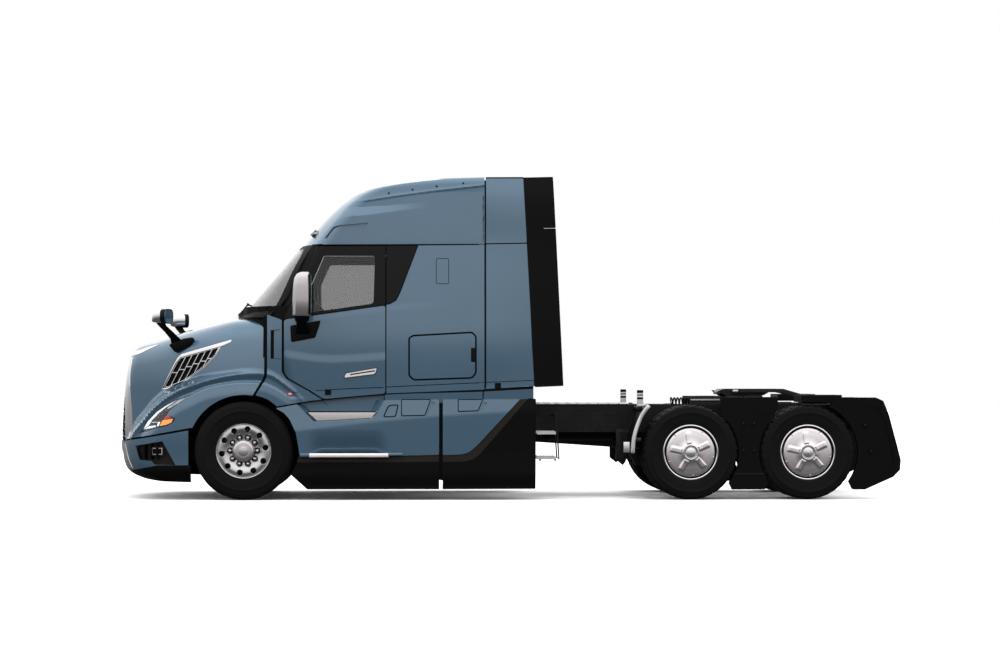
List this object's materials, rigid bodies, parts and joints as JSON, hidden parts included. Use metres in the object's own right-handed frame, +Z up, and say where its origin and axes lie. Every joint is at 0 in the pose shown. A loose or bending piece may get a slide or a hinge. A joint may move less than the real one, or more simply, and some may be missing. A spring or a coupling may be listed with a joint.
{
  "type": "semi truck tractor unit",
  "caption": "Three-axle conventional semi truck tractor with a sleeper cab, tilting hood, opening doors, steered front wheels and a tilting fifth wheel that takes a trailer.",
  "frame": {"origin": "on the ground under the middle of the overall length, on the centre plane", "axes": "+X to the rear (the truck faces -X), +Y to its right, +Z up"},
  "size_m": [8.3443, 3.12, 3.446],
  "materials": {
    "aluminium": "polished",
    "aluminium_satin": "satin",
    "black_gloss": "gloss black",
    "black_plastic": "grained black",
    "cast": "cast, painted dark",
    "chassis_black": "satin black",
    "chrome": "polished",
    "fabric": "woven dark grey",
    "glass": "tinted clear",
    "interior": "grey trim",
    "lamp": "clear lamp lens",
    "paint": "metallic slate blue",
    "steel": "greased steel",
    "tyre": "rubber"
  },
  "bodies": {
    "chassis": {"air_lines": "black_plastic", "black_fairings": "black_plastic", "bumper": "paint", "bumper_valance": "black_plastic", "bunk": "fabric", "cab_back": "paint", "cab_floor": "chassis_black", "cab_front": "paint", "cab_side_left": "paint", "cab_side_right": "paint", "cowl": "black_plastic", "dashboard": "interior", "engine_and_radiator": "cast", "extender_flaps": "black_plastic", "fifth_wheel_mount": "cast", "frame": "chassis_black", "front_axle": "cast", "fuel_tanks": "aluminium_satin", "painted_fairings": "paint", "propshafts": "chassis_black", "quarter_fenders": "aluminium", "rear_axles": "cast", "rear_panels": "black_plastic", "roof_fairing": "paint", "seats": "fabric", "side_boxes": "black_plastic", "side_extenders": "paint", "steps_and_deck": "aluminium_satin", "suspension": "chassis_black", "tail_bar": "chassis_black", "windscreen": "glass"},
    "left_door": {"door_left": "paint", "door_glass_left": "glass", "door_mirror_left": "chrome"},
    "left_baggage_door": {"baggage_door_left": "paint"},
    "left_knuckle": {"knuckle_left": "cast"},
    "left_front_wheel": {"front_wheel_left": "aluminium", "front_tyre_left": "tyre"},
    "left_drive_wheels_1": {"drive_wheel_1_left": "aluminium", "drive_tyres_1_left": "tyre"},
    "left_drive_wheels_2": {"drive_wheel_2_left": "aluminium", "drive_tyres_2_left": "tyre"},
    "right_door": {"door_right": "paint", "door_glass_right": "glass", "door_mirror_right": "chrome"},
    "right_baggage_door": {"baggage_door_right": "paint"},
    "right_knuckle": {"knuckle_right": "cast"},
    "right_front_wheel": {"front_wheel_right": "aluminium", "front_tyre_right": "tyre"},
    "right_drive_wheels_1": {"drive_wheel_1_right": "aluminium", "drive_tyres_1_right": "tyre"},
    "right_drive_wheels_2": {"drive_wheel_2_right": "aluminium", "drive_tyres_2_right": "tyre"},
    "tie_rod": {"tie_rod": "chassis_black"},
    "hood": {"hood": "paint", "grille_and_vents": "chrome", "headlamps": "lamp", "hood_mirrors": "chrome"},
    "steering_wheel": {"steering_wheel": "black_gloss"},
    "fifth_wheel": {"fifth_wheel": "steel"}
  },
  "joints": [
    {"name": "hood_tilt", "type": "hinge", "parent": "chassis", "child": "hood", "pos_m": [-4.1545, 0, 0.602], "axis": [0, -1, 0], "range_deg": [0, 55]},
    {"name": "left_door_swing", "type": "hinge", "parent": "chassis", "child": "left_door", "pos_m": [-2.3565, -1.173, 1.6], "axis": [0, 0, -1], "range_deg": [0, 70]},
    {"name": "left_baggage_door_swing", "type": "hinge", "parent": "chassis", "child": "left_baggage_door", "pos_m": [-1.0365, -1.186, 1.5], "axis": [0, 0, -1], "range_deg": [0, 90]},
    {"name": "steer_left", "type": "hinge", "parent": "chassis", "child": "left_knuckle", "pos_m": [-2.7825, -0.89, 0.52], "axis": [0, 0, 1], "range_deg": [-38, 38]},
    {"name": "left_front_wheel_spin", "type": "hinge", "parent": "left_knuckle", "child": "left_front_wheel", "pos_m": [-2.7825, -1.035, 0.52], "axis": [0, 1, 0], "continuous": true},
    {"name": "left_drive_wheels_1_spin", "type": "hinge", "parent": "chassis", "child": "left_drive_wheels_1", "pos_m": [1.9375, -1.08, 0.5], "axis": [0, 1, 0], "continuous": true},
    {"name": "left_drive_wheels_2_spin", "type": "hinge", "parent": "chassis", "child": "left_drive_wheels_2", "pos_m": [3.1825, -1.08, 0.5], "axis": [0, 1, 0], "continuous": true},
    {"name": "right_door_swing", "type": "hinge", "parent": "chassis", "child": "right_door", "pos_m": [-2.3565, 1.173, 1.6], "axis": [0, 0, 1], "range_deg": [0, 70]},
    {"name": "right_baggage_door_swing", "type": "hinge", "parent": "chassis", "child": "right_baggage_door", "pos_m": [-1.0365, 1.186, 1.5], "axis": [0, 0, 1], "range_deg": [0, 90]},
    {"name": "steer_right", "type": "hinge", "parent": "chassis", "child": "right_knuckle", "pos_m": [-2.7825, 0.89, 0.52], "axis": [0, 0, 1], "range_deg": [-38, 38]},
    {"name": "right_front_wheel_spin", "type": "hinge", "parent": "right_knuckle", "child": "right_front_wheel", "pos_m": [-2.7825, 1.035, 0.52], "axis": [0, 1, 0], "continuous": true},
    {"name": "right_drive_wheels_1_spin", "type": "hinge", "parent": "chassis", "child": "right_drive_wheels_1", "pos_m": [1.9375, 1.08, 0.5], "axis": [0, 1, 0], "continuous": true},
    {"name": "right_drive_wheels_2_spin", "type": "hinge", "parent": "chassis", "child": "right_drive_wheels_2", "pos_m": [3.1825, 1.08, 0.5], "axis": [0, 1, 0], "continuous": true},
    {"name": "tie_rod_swing", "type": "hinge", "parent": "left_knuckle", "child": "tie_rod", "pos_m": [-2.5765, -0.89, 0.43], "axis": [0, 0, 1], "range_deg": [-38, 38]},
    {"name": "steering_wheel_turn", "type": "hinge", "parent": "chassis", "child": "steering_wheel", "pos_m": [-1.9045, -0.54, 1.915], "axis": [0.7933, 0, 0.6089], "range_deg": [-684, 684]},
    {"name": "fifth_wheel_tilt", "type": "hinge", "parent": "chassis", "child": "fifth_wheel", "pos_m": [2.7075, 0, 1.085], "axis": [0, 1, 0], "range_deg": [-12, 10]}
  ],
  "couplings": [
    {"joint": "steer_right", "follows": "steer_left", "ratio": 1},
    {"joint": "tie_rod_swing", "follows": "steer_left", "ratio": -1},
    {"joint": "steering_wheel_turn", "follows": "steer_left", "ratio": 18}
  ]
}
